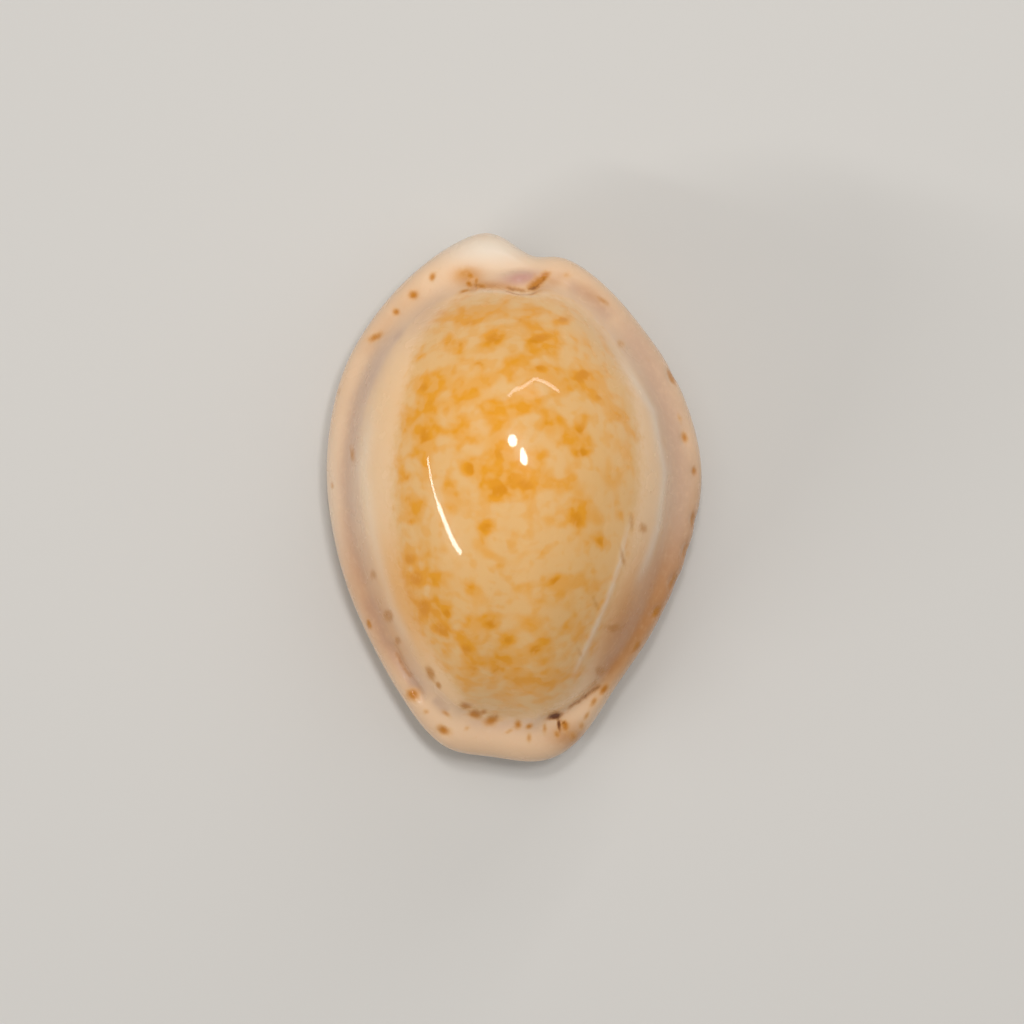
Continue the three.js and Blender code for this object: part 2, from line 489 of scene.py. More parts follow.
    def grid(self, low: np.ndarray, high: np.ndarray) -> Grid:
        """The bare surface, fitted to a box.

        Args:
            low: The box's lowest corner, in millimetres.
            high: Its highest corner.

        Returns:
            The surface's points, row by row.
        """
        rows = np.clip(self.row_positions(), 1.0, len(self.rings) - 2.0)
        basis = spline_basis(rows, len(self.rings), False)
        points = np.einsum("vk,kuc->vuc", basis, self.controls())
        flat = points.reshape(-1, 3)
        scale = (high - low) / np.ptp(flat, axis=0)
        points = (points - flat.min(0)) * scale + low
        spans, rows_each = self.row_plan[0]
        foot_of_back = points[spans * rows_each]
        bearing = np.arctan2(foot_of_back[:, 0], foot_of_back[:, 1])
        return Grid(points, rows, bearing)


@dataclass
class Relief:
    """The fine shape of the outside, as heights along the surface's normal, in millimetres."""

    pits: tuple[Patch, ...] = (
        Patch(-4.0, 10.8, 0.3, 0.25, 0, 0.1),
        Patch(-4.9, 9.9, 0.32, 0.26, 0, 0.12),
        Patch(-5.75, 9.1, 0.3, 0.25, 0, 0.1),
        Patch(-6.8, 7.85, 0.45, 0.25, 30, 0.12),
        Patch(-5.0, -9.5, 0.4, 0.35, 0, 0.12),
        Patch(-3.5, -11.5, 0.35, 0.3, 0, 0.1),
        Patch(7.7, 5.9, 0.22, 0.4, 20, 0.1),
        Patch(8.35, 2.9, 0.2, 0.4, 15, 0.12),
        Patch(8.85, 1.3, 0.2, 0.3, 0, 0.08),
        Patch(8.8, -1.1, 0.2, 0.35, -5, 0.1),
        Patch(8.4, -2.6, 0.2, 0.4, -15, 0.1),
        Patch(7.8, -4.1, 0.22, 0.4, -20, 0.1),
        Patch(6.95, -5.6, 0.22, 0.4, -30, 0.1),
    )
    grooves: tuple[Stroke, ...] = (
        Stroke(((-1.0, 10.4), (0.2, 10.24), (0.8, 10.22), (1.8, 10.55)), 0.26, 0.3, 0.5),
        Stroke(((-2.3, 10.35), (-1.8, 10.42)), 0.25, 0.12),
        Stroke(((-6.2, -6.9), (-5.7, -8.0), (-4.9, -9.4), (-4.2, -10.3)), 0.22, 0.16),
        Stroke(((4.6, -8.9), (3.6, -9.9), (2.3, -10.8), (1.0, -11.0)), 0.3, 0.2),
        Stroke(((-3.0, -10.4), (-1.2, -10.9), (1.0, -11.0)), 0.35, 0.12),
    )
    ridges: tuple[Stroke, ...] = (
        Stroke(((-2.4, 9.95), (-1.6, 10.08), (-0.6, 10.04), (0.3, 9.94), (1.3, 9.84)), 0.22, 0.05),
        Stroke(((5.6, -1.4), (5.15, -3.3), (4.5, -5.2), (3.6, -7.2), (2.8, -8.9)), 0.13, 0.04),
        Stroke(((5.4, 6.6), (6.8, 4.2), (7.4, 1.2), (7.1, -1.3), (6.6, -2.8), (5.8, -4.6)), 0.25, 0.05),
        Stroke(((-6.6, 5.6), (-7.5, 1.4), (-7.0, -2.0), (-6.2, -5.0), (-4.0, -9.2)), 0.3, 0.05),
    )
    bumps: tuple[Patch, ...] = (
        Patch(0.2, 10.75, 0.85, 0.3, 4, 0.22),
        Patch(-1.6, 10.8, 0.6, 0.3, -10, 0.06),
    )
    # The slow ripple: its height, how many waves it is made of, and how long they are.
    wobble: float = 0.025
    waves: int = 12
    wave_lengths: tuple[float, float] = (4.0, 9.0)
    # The mean of the waves is much lower than one wave, and is made taller by this.
    wave_gain: float = 3.0
    seed: int = 11
    # The rows of the grid over which the relief fades out, before the base.
    fade_rows: tuple[float, float] = (9.5, 11.0)

    def unevenness(self, points: np.ndarray) -> np.ndarray:
        """A slow ripple: the mean of a few sine waves in seeded directions, made taller.

        Args:
            points: Places on the shell, in millimetres.

        Returns:
            One height for each point, in millimetres.
        """
        rng = np.random.default_rng(self.seed)
        direction = rng.normal(size=(self.waves, 3))
        direction /= np.linalg.norm(direction, axis=1, keepdims=True)
        pitch = 2 * np.pi / rng.uniform(*self.wave_lengths, self.waves)
        phase = rng.uniform(0, 2 * np.pi, self.waves)
        mean = np.sin((points @ direction.T) * pitch + phase).mean(axis=-1)
        return mean * self.wobble * self.wave_gain

    def heights(self, grid: Grid) -> np.ndarray:
        """How far each grid point moves out along its normal.

        Ridges and bumps less pits and grooves, on the rows from the crown to the rim, plus the
        ripple; both fade out before the base, which stays flat.

        Args:
            grid: The bare surface.

        Returns:
            One height for each grid point, in millimetres.
        """
        plan = seen_plan(grid.points)
        height = together(self.ridges + self.bumps, plan) - together(self.pits + self.grooves, plan)
        height += self.unevenness(grid.points)
        return height * (1.0 - smoothstep(*self.fade_rows, grid.rows))[:, None]


# ------------------------------------------------------------------------------------------ the markings


@dataclass
class Markings:
    """Where the colours and the painted shade lie on the shell, as soft fields that the finish turns into
    colour.
    """

    # The rows of the grid over which the tints, and then the marks, end under the rim.
    tint_rows: tuple[float, float] = (10.6, 11.6)
    mark_rows: tuple[float, float] = (9.6, 10.6)
    # How far inside its line, in millimetres, a zone starts and is whole.
    mottled_start: tuple[float, float] = (-0.85, 0.5)
    banded_start: tuple[float, float] = (-0.5, 0.4)
    mottled: ClosedEdge = ClosedEdge(
        (
            (-2.2, 9.9), (0.3, 10.0), (2.6, 9.6), (4.1, 8.3), (5.2, 6.5), (5.9, 4.2), (6.1, 1.6),
            (5.9, -1.0), (5.3, -3.5), (4.6, -5.5), (3.9, -7.6), (3.1, -9.2), (1.9, -10.4),
            (-0.4, -10.6), (-2.2, -10.2), (-3.2, -8.7), (-4.1, -7.1), (-5.0, -5.5), (-5.5, -3.3),
            (-5.8, -1.0), (-5.8, 1.3), (-5.6, 3.6), (-5.1, 5.5), (-4.8, 7.4), (-3.6, 9.0),
        )
    )
    banded: ClosedEdge = ClosedEdge(
        (
            (-0.5, 10.2), (2.6, 10.0), (4.2, 8.6), (5.4, 6.9), (6.8, 4.7), (7.4, 1.4), (7.3, -1.8),
            (6.4, -4.6), (5.4, -6.7), (4.2, -8.6), (2.6, -10.5), (0.3, -10.9), (-2.0, -10.8),
            (-3.7, -9.5), (-5.2, -7.4), (-6.3, -5.1), (-7.2, -2.2), (-7.7, 1.4), (-7.4, 4.4),
            (-6.3, 6.9), (-4.8, 8.9), (-2.9, 10.0),
        )
    )
    blotches: tuple[Patch, ...] = (
        Patch(-3.4, 9.2, 1.3, 0.42, 40, 0.9), Patch(-4.6, 7.2, 0.35, 0.7, -10, 0.7),
        Patch(-2.75, 7.5, 0.5, 0.3, 10, 0.9), Patch(-2.1, 8.5, 0.6, 0.3, 10, 0.8),
        Patch(-1.0, 7.75, 0.75, 0.4, 20, 1.0), Patch(0.2, 8.65, 0.35, 0.3, 0, 0.9),
        Patch(1.2, 7.75, 0.9, 0.35, 12, 1.0), Patch(2.5, 8.75, 0.6, 0.28, 8, 1.0),
        Patch(-1.7, 6.55, 0.6, 0.3, 8, 1.0), Patch(1.2, 6.35, 0.6, 0.28, -8, 1.0),
        Patch(-4.45, 5.4, 0.45, 0.4, 0, 0.9), Patch(3.35, 5.95, 0.7, 0.5, 35, 1.0),
        Patch(4.25, 4.9, 0.42, 0.4, 0, 1.0), Patch(5.1, 3.9, 0.4, 0.35, 0, 0.9),
        Patch(-4.1, 4.6, 0.3, 0.3, 0, 0.7), Patch(-4.4, 2.9, 0.5, 0.9, 0, 0.9),
        Patch(1.6, 3.6, 0.45, 0.4, 0, 0.7), Patch(3.3, 3.3, 0.45, 0.7, -5, 1.0),
        Patch(3.3, 2.1, 0.45, 0.6, 10, 1.0), Patch(-1.8, 5.3, 0.6, 0.3, 0, 0.6),
        Patch(-1.2, 4.1, 1.3, 0.8, 0, 0.55), Patch(0.6, 4.4, 0.8, 0.4, 20, 0.6),
        Patch(-2.1, 1.4, 0.5, 0.55, 20, 1.0), Patch(-0.6, 0.35, 1.1, 0.5, 12, 1.0),
        Patch(0.5, 0.6, 0.8, 0.5, -20, 0.9), Patch(-0.7, 2.1, 0.8, 0.6, 0, 0.75),
        Patch(1.9, 0.9, 0.5, 0.4, 0, 0.7), Patch(-5.2, 0.95, 0.32, 0.32, 0, 0.9),
        Patch(-5.2, -0.05, 0.38, 0.36, 0, 0.9), Patch(-5.2, -1.2, 0.32, 0.34, 0, 0.9),
        Patch(-4.4, -1.6, 0.4, 0.4, 0, 0.9), Patch(-3.1, 0.6, 0.42, 0.4, 0, 0.8),
        Patch(-1.35, -1.5, 0.55, 0.4, 10, 0.9), Patch(0.75, -0.9, 0.4, 0.9, 0, 0.8),
        Patch(3.0, -1.2, 0.5, 0.75, -5, 1.0), Patch(2.8, -0.4, 0.4, 0.4, 0, 0.8),
        Patch(4.2, -2.2, 0.38, 0.38, 0, 0.85), Patch(5.1, -0.9, 0.3, 0.35, 0, 0.7),
        Patch(-5.1, -3.0, 0.5, 0.6, 0, 1.0), Patch(-4.8, -4.0, 0.5, 0.6, 10, 1.0),
        Patch(-4.4, -5.4, 0.5, 0.8, 15, 1.0), Patch(-3.5, -6.5, 0.75, 0.45, -40, 1.0),
        Patch(-4.0, -4.1, 0.45, 0.4, 0, 0.7), Patch(-2.2, -4.5, 0.45, 0.4, 0, 0.7),
        Patch(-0.5, -4.0, 0.4, 0.4, 0, 0.6), Patch(-3.3, -5.7, 0.34, 0.32, 0, 1.0),
        Patch(-1.1, -6.2, 0.5, 0.42, 0, 1.0), Patch(-1.4, -7.2, 0.3, 0.26, 0, 0.7),
        Patch(-0.3, -7.0, 0.38, 0.34, 0, 0.9), Patch(0.95, -7.5, 0.62, 0.36, 30, 1.0),
        Patch(2.0, -4.15, 0.5, 0.44, 0, 1.0), Patch(-2.4, -7.5, 0.5, 0.44, 0, 1.0),
        Patch(-2.0, -8.4, 0.4, 0.75, 0, 0.8), Patch(-0.9, -8.6, 0.3, 0.7, -15, 0.8),
        Patch(0.3, -8.7, 0.7, 0.22, 8, 0.7), Patch(1.6, -9.1, 0.9, 0.2, -6, 0.7),
        Patch(1.8, -7.6, 0.42, 0.36, 0, 0.6), Patch(3.3, -6.6, 0.35, 0.45, 0, 0.7),
        Patch(-3.0, -7.3, 0.5, 0.5, 0, 0.8), Patch(2.9, -8.5, 0.45, 0.35, 0, 0.6),
        Patch(0.9, -5.7, 0.4, 0.3, 0, 0.5), Patch(-2.7, -2.6, 0.4, 0.4, 0, 0.6),
        Patch(1.4, -2.6, 0.5, 0.3, 30, 0.5), Patch(-0.1, -2.4, 0.4, 0.5, 0, 0.5),
    )
    amber: tuple[Patch, ...] = (
        Patch(-3.5, 4.0, 1.9, 2.1, 0, 0.9), Patch(-0.4, 0.8, 2.3, 1.1, 10, 1.0),
        Patch(-5.0, -1.2, 0.8, 2.6, 0, 0.7), Patch(-4.2, -5.2, 1.1, 2.0, 22, 0.9),
        Patch(2.9, 2.6, 0.9, 1.8, 0, 0.6), Patch(0.2, 7.0, 2.8, 1.3, 0, 0.75),
        Patch(0.4, 4.3, 2.2, 1.2, 0, 0.75), Patch(3.1, -0.8, 0.8, 1.2, 0, 0.6),
        Patch(0.0, -8.0, 3.0, 1.3, 0, 0.85), Patch(-0.2, -9.5, 2.4, 0.9, 0, 0.6),
        Patch(0.0, -5.2, 3.4, 1.6, 0, 0.35), Patch(-6.2, -4.2, 0.9, 2.4, 12, 0.8),
        Patch(0.0, 8.8, 2.8, 1.0, 0, 0.7), Patch(-2.3, 10.95, 0.7, 0.4, 10, 0.9),
        Patch(-0.9, 10.3, 1.1, 0.22, 0, 0.8), Patch(-5.5, -6.8, 0.9, 2.0, 24, 0.8),
        Patch(5.8, -5.2, 1.0, 2.6, -24, 0.8), Patch(5.0, -7.6, 0.9, 1.6, -32, 0.6),
        Patch(3.6, -5.0, 0.8, 2.6, -14, 0.4), Patch(3.4, 5.6, 1.1, 1.4, 30, 0.55),
        Patch(-1.0, -1.4, 1.8, 1.0, 0, 0.4), Patch(-3.3, 8.4, 1.2, 0.7, 40, 0.6),
    )
    # Painted shade: brown along the steep flanks and rims, and in the creases by the spire and near the
    # front.
    tan: tuple[Patch | Stroke, ...] = (
        Stroke(((7.9, 0.0), (7.1, -3.4), (6.0, -6.0), (4.8, -8.2), (3.4, -10.8)), 1.15, 0.8, 0.42),
        Patch(2.7, -11.7, 1.0, 0.6, 0, 0.75),
        Patch(4.6, -8.3, 0.5, 0.8, -32, 0.45),
        Stroke(((-8.6, 0.0), (-7.6, -4.0), (-6.2, -6.9), (-4.8, -9.4)), 0.9, 0.38, 0.4),
        Patch(-1.2, 10.35, 0.8, 0.22, 0, 0.7),
        Patch(-2.3, 11.0, 0.6, 0.35, 10, 0.4),
        Stroke(
            ((8.7, 3.2), (9.2, 0.6), (8.9, -1.8), (8.2, -3.9), (7.2, -5.6), (5.4, -8.4)),
            0.5,
            0.6,
            0.45,
        ),
        Stroke(((-6.6, -8.6), (-5.0, -10.6), (-3.4, -12.0), (0.0, -12.4), (2.6, -12.2)), 0.7, 0.08),
        Patch(5.3, -6.4, 1.1, 2.0, -22, 0.25),
        Patch(-2.1, 10.7, 0.7, 0.45, 0, 0.6),
        Patch(1.9, 10.6, 0.7, 0.4, 20, 0.45),
        Patch(3.8, 9.9, 1.0, 0.4, -35, 0.35),
        Stroke(((-7.6, 6.6), (-6.0, 8.8), (-4.2, 10.6)), 0.5, 0.22),
    )
    ochre: tuple[Patch, ...] = (
        Patch(-4.0, 10.8, 0.16, 0.24, -20, 1.0), Patch(-4.93, 9.92, 0.24, 0.22, 0, 1.1),
        Patch(-5.77, 9.08, 0.19, 0.18, 0, 0.95), Patch(-6.8, 7.85, 0.4, 0.18, 25, 1.05),
        Patch(-4.95, -9.65, 0.34, 0.32, 0, 1.1), Patch(-3.45, -11.4, 0.36, 0.24, -25, 1.0),
        Patch(-4.3, -10.5, 0.18, 0.14, 0, 0.6), Patch(-3.3, -10.6, 0.3, 0.12, -35, 0.65),
        Patch(-2.35, -10.2, 0.34, 0.18, -10, 1.0), Patch(-1.9, -10.6, 0.36, 0.24, -15, 1.1),
        Patch(-1.5, -10.5, 0.2, 0.15, 20, 0.9), Patch(-1.1, -10.9, 0.42, 0.26, 25, 0.95),
        Patch(-0.85, -10.75, 0.14, 0.2, 0, 0.8), Patch(0.2, -11.1, 0.2, 0.24, -10, 1.0),
        Patch(-0.25, -11.45, 0.26, 0.12, 25, 0.7), Patch(0.74, -11.2, 0.2, 0.14, 30, 0.9),
        Patch(0.74, -11.75, 0.14, 0.28, 0, 0.65), Patch(1.5, -11.3, 0.12, 0.3, 0, 0.65),
        Patch(-2.3, -11.3, 0.16, 0.14, 0, 0.6), Patch(2.9, -11.7, 0.2, 0.26, 0, 0.65),
        Patch(3.3, -11.2, 0.16, 0.2, 0, 0.7), Patch(4.4, -9.4, 0.16, 0.34, -38, 1.05),
        Patch(3.9, -10.0, 0.14, 0.28, -38, 0.85), Patch(3.55, -10.7, 0.12, 0.24, -30, 0.7),
        Patch(2.5, -11.2, 0.2, 0.32, 15, 1.0), Patch(2.1, -11.6, 0.16, 0.2, 15, 0.8),
        Patch(-2.15, 10.85, 0.22, 0.16, -30, 1.0), Patch(-2.2, 10.45, 0.2, 0.14, -30, 1.05),
        Patch(-1.6, 10.35, 0.26, 0.12, -10, 1.05), Patch(-2.45, 10.1, 0.3, 0.1, 15, 0.85),
        Patch(-1.85, 10.6, 0.12, 0.2, 0, 0.9), Patch(-2.45, 11.0, 0.42, 0.25, 20, 0.6),
        Patch(1.5, 10.85, 0.34, 0.22, 40, 1.1), Patch(1.25, 10.62, 0.34, 0.26, 40, 1.0),
        Patch(1.0, 10.4, 0.42, 0.26, 25, 1.0),
        Patch(8.35, 2.95, 0.16, 0.32, 15, 0.85), Patch(2.6, 10.9, 0.2, 0.14, 0, 0.5),
        Patch(8.1, 3.9, 0.12, 0.25, 15, 0.5), Patch(5.2, 7.5, 0.26, 0.2, -50, 0.55),
    )
    # Dark brown spots near the front, and painted shade: dark streaks in the spire crease under its bump and
    # along the grooves near the front.
    umber_and_crease_shade: tuple[Patch | Stroke, ...] = (
        Stroke(((-0.8, 10.34), (0.0, 10.18), (0.6, 10.12), (1.2, 10.25)), 0.15, 0.6, 0.4),
        Patch(0.9, 10.25, 0.3, 0.16, 10, 0.75),
        Stroke(((1.05, 10.3), (1.4, 10.6), (1.6, 10.85)), 0.1, 0.6),
        Patch(-1.75, 10.4, 0.22, 0.09, 0, 0.7),
        Patch(1.35, 10.7, 0.32, 0.22, 40, 0.4),
        Patch(2.0, -10.7, 0.42, 0.18, 12, 1.15),
        Patch(1.75, -10.8, 0.2, 0.1, 0, 0.9),
        Patch(2.2, -11.15, 0.1, 0.38, 8, 0.95),
        Patch(2.45, -11.05, 0.16, 0.12, 0, 0.7),
        Stroke(((2.4, -10.5), (3.4, -9.8), (4.5, -9.0)), 0.13, 0.62),
        Stroke(((-5.9, -7.4), (-5.4, -8.3), (-4.9, -9.0)), 0.14, 0.45),
    )
    olive: tuple[Patch, ...] = (
        Patch(7.7, 5.9, 0.14, 0.42, 25, 0.95), Patch(8.8, 1.3, 0.13, 0.3, 0, 0.7),
        Patch(8.75, -1.1, 0.13, 0.4, -5, 1.0), Patch(8.4, -2.6, 0.14, 0.42, -15, 1.0),
        Patch(7.8, -4.1, 0.16, 0.45, -22, 1.05), Patch(6.95, -5.6, 0.16, 0.4, -30, 0.9),
        Patch(6.0, -7.3, 0.14, 0.4, -35, 0.8), Patch(-7.9, 2.1, 0.14, 0.5, 5, 0.7),
        Patch(-8.9, 0.6, 0.1, 0.25, 0, 0.5), Patch(-6.15, -5.8, 0.22, 0.32, 15, 1.1),
        Patch(-5.7, -7.0, 0.14, 0.22, 15, 0.9), Patch(-7.1, -6.2, 0.12, 0.26, 20, 0.9),
        Patch(-6.9, -3.8, 0.2, 0.32, 10, 0.6), Patch(-4.1, -8.6, 0.22, 0.45, 25, 0.85),
        Patch(-3.7, -9.2, 0.14, 0.24, 25, 0.8), Patch(4.9, -6.4, 0.5, 0.22, 5, 0.75),
        Patch(4.2, -8.5, 0.28, 0.26, 0, 0.85), Patch(4.4, 9.6, 0.4, 0.16, -35, 0.6),
        Patch(5.75, -1.2, 0.14, 0.5, 4, 0.6), Patch(5.3, -2.9, 0.14, 0.6, 14, 0.55),
        Patch(6.3, -1.5, 0.24, 0.3, 0, 0.65), Patch(-8.6, 5.2, 0.1, 0.3, -25, 0.4),
        Patch(4.0, -5.2, 0.15, 0.5, 20, 0.45), Patch(3.2, -7.6, 0.15, 0.5, 25, 0.4),
    )
    # Lilac-grey: the margin's own lilac tint and the lilac bump by the spire, with painted shade in the
    # grooves along both margins.
    lilac: tuple[Patch | Stroke, ...] = (
        Patch(0.3, 10.75, 0.85, 0.3, 8, 1.1),
        Stroke(
            (
                (-5.2, 9.0), (-6.2, 7.6), (-7.7, 4.6), (-8.25, 1.2), (-8.0, -2.2), (-7.2, -5.0),
                (-6.4, -6.8),
            ),
            0.45,
            0.75,
        ),
        Stroke(((-7.4, -4.4), (-6.3, -7.0), (-5.4, -8.4), (-4.1, -10.2)), 0.38, 0.95),
        Stroke(
            (
                (4.2, 10.0), (5.0, 9.0), (6.6, 6.6), (7.6, 4.0), (8.2, 1.0), (8.0, -2.0), (7.1, -4.6),
                (6.4, -6.2),
            ),
            0.75,
            0.8,
        ),
        Stroke(((6.9, -5.0), (6.0, -6.6), (5.0, -8.2)), 0.4, 0.3),
        Patch(-4.3, 9.0, 1.5, 0.5, 50, 0.45),
        Patch(-5.7, 7.9, 0.5, 0.2, 45, 0.5),
        Stroke(((2.4, 10.6), (3.6, 9.9), (4.9, 8.6)), 0.35, 0.7),
        Stroke(((-2.6, -10.9), (-0.6, -11.2), (1.6, -11.2)), 0.35, 0.4),
        Stroke(((-4.0, -9.8), (-3.2, -10.6)), 0.25, 0.6),
    )
    rose: tuple[Patch, ...] = (Patch(0.35, 10.73, 0.9, 0.32, 6, 0.6),)
    callus: tuple[Patch | Stroke, ...] = (
        Patch(-1.2, 12.2, 2.4, 0.9, 0, 1.0),
        Stroke(((-2.4, 9.98), (-1.6, 10.12), (-0.6, 10.08), (0.3, 9.98), (1.25, 9.9)), 0.1, 0.4),
        Stroke(((5.75, -0.6), (5.15, -3.3), (4.5, -5.2), (3.6, -7.2), (2.6, -9.3)), 0.12, 0.6),
        Stroke(((4.8, 7.6), (6.8, 4.2), (7.4, 1.2), (7.1, -1.3), (6.6, -2.8), (5.6, -5.2)), 0.22, 0.5),
        Stroke(((-6.8, 5.2), (-7.4, 1.4), (-6.9, -2.0), (-6.0, -5.4), (-4.2, -9.0)), 0.3, 0.4),
        Stroke(((-8.4, 5.4), (-9.0, 2.0), (-8.9, -1.0), (-7.8, -5.0)), 0.35, 0.3, 0.45),
    )

    def zones(self, grid: Grid) -> np.ndarray:
        """Field by field: the mottled back, the banded dome, lilac-grey painted shade over the margin's own
        lilac tint, and the underside.

        Args:
            grid: The shell's surface.

        Returns:
            Four numbers from 0 to 1 for each grid point.
        """
        plan = seen_plan(grid.points)
        outside = (1.0 - smoothstep(*self.tint_rows, grid.rows))[:, None]
        back = smoothstep(*self.mottled_start, self.mottled.depth(plan)) * outside
        band = smoothstep(*self.banded_start, self.banded.depth(plan)) * outside
        shade = np.clip(together(self.lilac, plan), 0, 1) * outside
        under = np.broadcast_to(1.0 - outside, back.shape)
        return np.stack([back, band, shade, under], axis=-1)

    def marks(self, grid: Grid) -> np.ndarray:
        """Field by field: blotches, ochre spots, dark brown spots with painted shade as streaks along creases
        and grooves, and olive flecks.

        Args:
            grid: The shell's surface.

        Returns:
            Four numbers for each grid point, 1 in the middle of a full-strength mark.
        """
        plan = seen_plan(grid.points)
        outside = (1.0 - smoothstep(*self.mark_rows, grid.rows))[:, None]
        groups = (self.blotches, self.ochre, self.umber_and_crease_shade, self.olive)
        return np.stack([strongest(group, plan) * outside for group in groups], axis=-1)

    def veils(self, grid: Grid) -> np.ndarray:
        """Field by field: white callus, amber wash, brown painted shade on the flanks and in the creases, and
        the rose bump by the spire.

        Args:
            grid: The shell's surface.

        Returns:
            Four numbers from 0 to 1 for each grid point.
        """
        plan = seen_plan(grid.points)
        outside = (1.0 - smoothstep(*self.tint_rows, grid.rows))[:, None]
        groups = (self.callus, self.amber, self.tan, self.rose)
        return np.stack([np.clip(together(group, plan), 0, 1) * outside for group in groups], axis=-1)


# ------------------------------------------------------------------------------------------ the finish


Rgb = tuple[float, float, float]


def linear(red: int, green: int, blue: int) -> Rgb:
    """A colour given as it looks on a screen, as the light that it stands for.

    Args:
        red: From 0 to 255, as are the others.
        green: The green part.
        blue: The blue part.

    Returns:
        The three parts of the light, from 0 to 1.
    """
    return tuple(
        c / 12.92 if c <= 0.04045 else ((c + 0.055) / 1.055) ** 2.4
        for c in (red / 255, green / 255, blue / 255)
    )


class NodeSheet:
    """A node tree with short ways to add and join its nodes."""

    def __init__(self, tree: bpy.types.NodeTree) -> None:
        """Start from an empty tree."""
        self.tree = tree
        tree.nodes.clear()

    def add(self, kind: str, values: dict | None = None, **settings: object) -> bpy.types.Node:
        """Add a node.

        Args:
            kind: The node's type.
            values: Constants or output sockets for its inputs, by name or number.
            settings: The node's own properties.

        Returns:
            The new node.
        """
        node = self.tree.nodes.new(kind)
        for name, value in settings.items():
            setattr(node, name, value)
        for key, value in (values or {}).items():
            socket = node.inputs[key]
            if isinstance(value, bpy.types.NodeSocket):
                self.tree.links.new(value, socket)
            elif isinstance(value, tuple) and len(value) == 3 and socket.type == "RGBA":
                socket.default_value = (*value, 1.0)
            else:
                socket.default_value = value
        return node

    def sum(self, operation: str, *terms: object) -> bpy.types.NodeSocket:
        """The result of a Math node over sockets or numbers."""
        return self.add("ShaderNodeMath", dict(enumerate(terms)), operation=operation).outputs[0]

    def ease(
        self, value: bpy.types.NodeSocket, low: float, high: float, to: float = 1.0
    ) -> bpy.types.NodeSocket:
        """A smooth rise from nothing.

        Args:
            value: The socket to ease.
            low: Where the rise starts, at 0.
            high: Where it ends.
            to: What it ends at.

        Returns:
            The eased socket.
        """
        values = {"Value": value, "From Min": low, "From Max": high, "To Min": 0.0, "To Max": to}
        node = self.add("ShaderNodeMapRange", values, interpolation_type="SMOOTHSTEP")
        return node.outputs["Result"]

    def blend(self, amount: object, under: object, over: object) -> bpy.types.NodeSocket:
        """One colour laid over another by an amount."""
        return self.add("ShaderNodeMix", {0: amount, 6: under, 7: over}, data_type="RGBA").outputs[2]


def speckle_group() -> bpy.types.NodeTree:
    """A field of soft irregular blots: warped noise, plus a field that says where blots gather.

    Returns:
        A node group with a mask of the blots and the raw noise behind them.
    """
    tree = bpy.data.node_groups.new("Speckle", "ShaderNodeTree")
    for name, kind, value in (
        ("Place", "NodeSocketVector", None),
        ("Scale", "NodeSocketFloat", 1.0),
        ("Warp", "NodeSocketFloat", 0.15),
        ("Gather", "NodeSocketFloat", 0.0),
        ("Low", "NodeSocketFloat", 0.45),
        ("High", "NodeSocketFloat", 0.6),
    ):
        socket = tree.interface.new_socket(name, in_out="INPUT", socket_type=kind)
        if value is not None:
            socket.default_value = value
    tree.interface.new_socket("Mask", in_out="OUTPUT", socket_type="NodeSocketFloat")
    tree.interface.new_socket("Noise", in_out="OUTPUT", socket_type="NodeSocketFloat")
    sheet = NodeSheet(tree)
    given = sheet.add("NodeGroupInput").outputs
    noise = sheet.add(
        "ShaderNodeTexNoise",
        {
            "Vector": given["Place"],
            "Scale": given["Scale"],
            "Detail": 1.2,
            "Roughness": 0.4,
            "Distortion": given["Warp"],
        },
    ).outputs[0]
    raised = sheet.sum("ADD", noise, given["Gather"])
    mask = sheet.add(
        "ShaderNodeMapRange",
        {"Value": raised, "From Min": given["Low"], "From Max": given["High"]},
        interpolation_type="SMOOTHSTEP",
    ).outputs["Result"]
    sheet.add("NodeGroupOutput", {"Mask": mask, "Noise": noise})
    return tree


@dataclass(frozen=True)
class Blots:
    """One size of mottling: how fine it is, where its noise turns to blots, and its share."""

    scale: float
    low: float
    high: float
    share: float


@dataclass(frozen=True)
class Border:
    """The edge of a zone: how ragged it is, and where the zone's field eases in."""

    ragged: float
    low: float
    high: float


@dataclass(frozen=True)
class Stain:
    """A colour laid on as a field rises from low to high, up to a strength."""

    low: float
    high: float
    strength: float
    colour: Rgb


